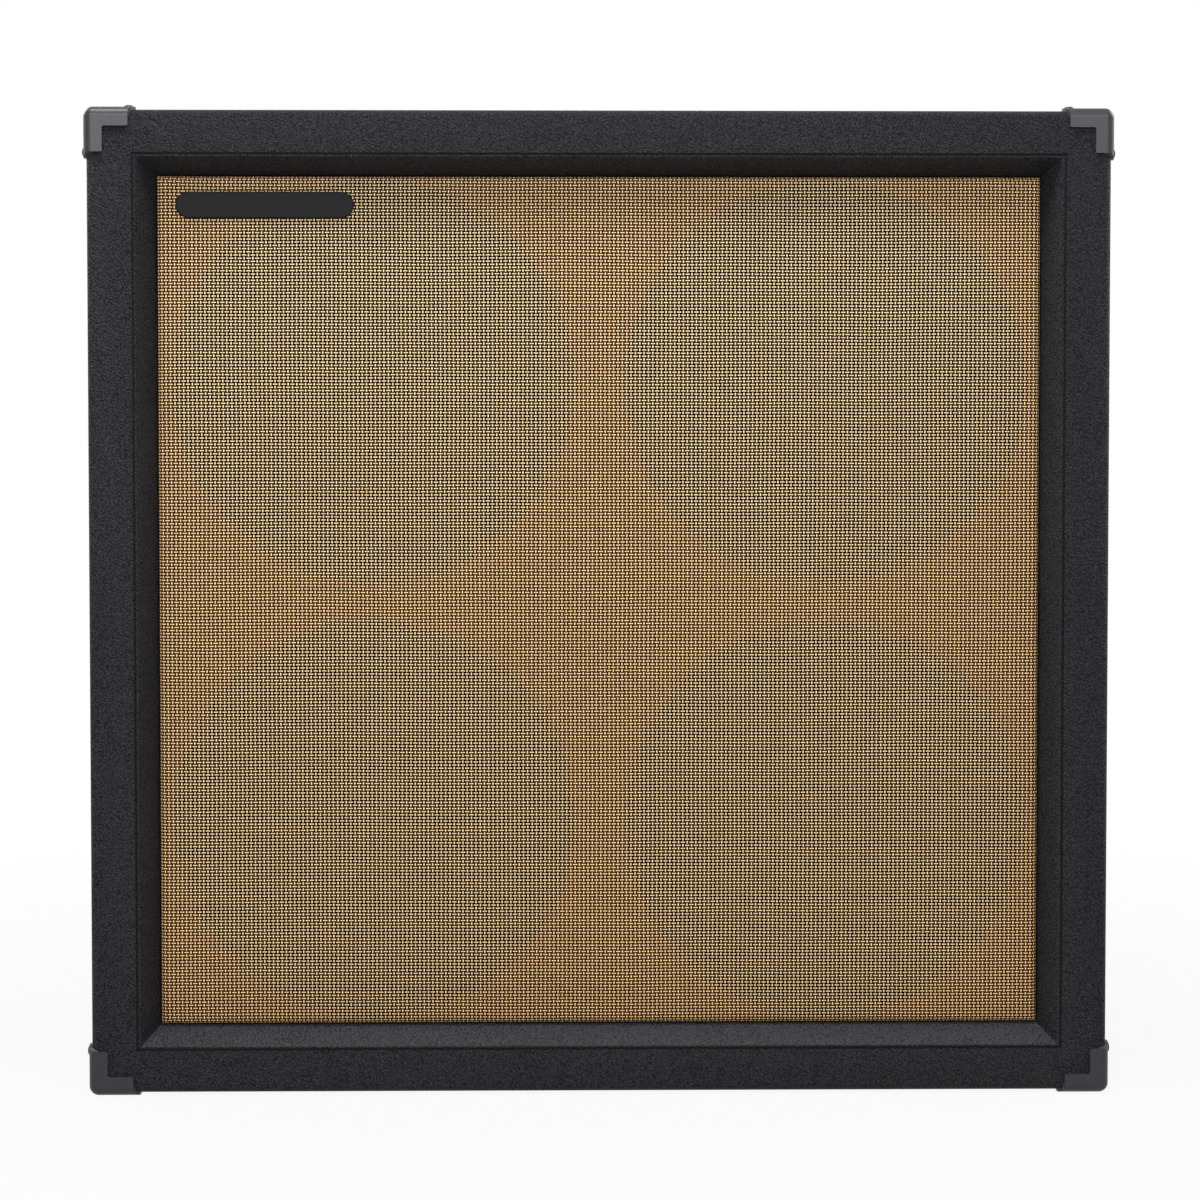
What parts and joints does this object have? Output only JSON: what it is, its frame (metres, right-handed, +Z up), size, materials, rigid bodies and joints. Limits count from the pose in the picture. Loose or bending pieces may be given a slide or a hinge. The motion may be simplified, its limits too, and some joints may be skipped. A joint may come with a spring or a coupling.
{
  "type": "guitar speaker cabinet",
  "caption": "Straight closed-back guitar speaker cabinet with bevelled front frame, woven grille cloth, corner protectors, recessed handles and moving driver cones.",
  "frame": {"origin": "on the floor, under the middle of the box", "axes": "+X to the right as seen from the front, +Y from front to back, +Z up"},
  "size_m": [0.7696, 0.3604, 0.74],
  "materials": {
    "plywood": "raw birch plywood",
    "timber": "raw softwood",
    "black_board": "plywood painted matte black",
    "back_board": "board under black grained covering",
    "vinyl": "grained black vinyl",
    "fibreboard": "raw brown fibreboard",
    "cloth": "tan and gold basket-woven cloth",
    "hook_and_loop": "woven nylon",
    "badge": "satin charcoal, bare",
    "corner_plastic": "moulded, satin",
    "black_screw": "blackened steel",
    "zinc_steel": "zinc plated",
    "black_steel": "pressed steel, powder coated",
    "grip_plastic": "moulded sleeve",
    "dish_plastic": "moulded, fine texture",
    "nut_metal": "nickel plated",
    "cork": "cork gasket",
    "surround_paper": "doped paper",
    "spider_cloth": "resin-dipped cloth",
    "ferrite": "sintered ferrite",
    "terminal": "tinned lugs on a strip",
    "cone_paper": "pressed paper",
    "dust_cap_paper": "pressed paper",
    "copper": "copper winding on a thin former"
  },
  "bodies": {
    "cabinet": {"back_cleats": "timber", "back_panel": "back_board", "back_panel_screws": "black_screw", "badge_plate": "badge", "baffle_board": "black_board", "baffle_screws": "zinc_steel", "bottom_panel": "plywood", "centre_brace": "timber", "corner_front_bottom_left": "corner_plastic", "corner_front_bottom_right": "corner_plastic", "corner_front_top_left": "corner_plastic", "corner_front_top_right": "corner_plastic", "corner_rear_bottom_left": "corner_plastic", "corner_rear_bottom_right": "corner_plastic", "corner_rear_top_left": "corner_plastic", "corner_rear_top_right": "corner_plastic", "corner_screws": "black_screw", "driver_back_plates": "zinc_steel", "driver_baskets": "black_steel", "driver_bolts": "zinc_steel", "driver_gaskets": "cork", "driver_magnets": "ferrite", "driver_spiders": "spider_cloth", "driver_surrounds": "surround_paper", "driver_t_nuts": "zinc_steel", "driver_terminals": "terminal", "driver_top_plates": "zinc_steel", "front_frame_bottom": "timber", "front_frame_left": "timber", "front_frame_right": "timber", "front_frame_top": "timber", "grille_board": "fibreboard", "grille_cloth": "cloth", "grille_pads": "hook_and_loop", "handle_dish_left": "black_steel", "handle_dish_right": "black_steel", "handle_grip_left": "grip_plastic", "handle_grip_right": "grip_plastic", "handle_screws": "black_screw", "input_jacks": "dish_plastic", "jack_dish": "dish_plastic", "jack_dish_screws": "black_screw", "jack_nuts": "nut_metal", "left_side_panel": "plywood", "right_side_panel": "plywood", "top_panel": "plywood", "vinyl_covering": "vinyl"},
    "driver_1_cone": {"cone_1": "cone_paper", "dust_cap_1": "dust_cap_paper", "voice_coil_1": "copper"},
    "driver_2_cone": {"cone_2": "cone_paper", "dust_cap_2": "dust_cap_paper", "voice_coil_2": "copper"},
    "driver_3_cone": {"cone_3": "cone_paper", "dust_cap_3": "dust_cap_paper", "voice_coil_3": "copper"},
    "driver_4_cone": {"cone_4": "cone_paper", "dust_cap_4": "dust_cap_paper", "voice_coil_4": "copper"}
  },
  "joints": [
    {"name": "driver_1_travel", "type": "slide", "parent": "cabinet", "child": "driver_1_cone", "axis": [0, -1, 0], "range_m": [-0.003, 0.003], "stiffness_N_per_m": 6000, "deforming": ["driver_surrounds", "driver_spiders"]},
    {"name": "driver_2_travel", "type": "slide", "parent": "cabinet", "child": "driver_2_cone", "axis": [0, -1, 0], "range_m": [-0.003, 0.003], "stiffness_N_per_m": 6000, "deforming": ["driver_surrounds", "driver_spiders"]},
    {"name": "driver_3_travel", "type": "slide", "parent": "cabinet", "child": "driver_3_cone", "axis": [0, -1, 0], "range_m": [-0.003, 0.003], "stiffness_N_per_m": 6000, "deforming": ["driver_surrounds", "driver_spiders"]},
    {"name": "driver_4_travel", "type": "slide", "parent": "cabinet", "child": "driver_4_cone", "axis": [0, -1, 0], "range_m": [-0.003, 0.003], "stiffness_N_per_m": 6000, "deforming": ["driver_surrounds", "driver_spiders"]}
  ]
}
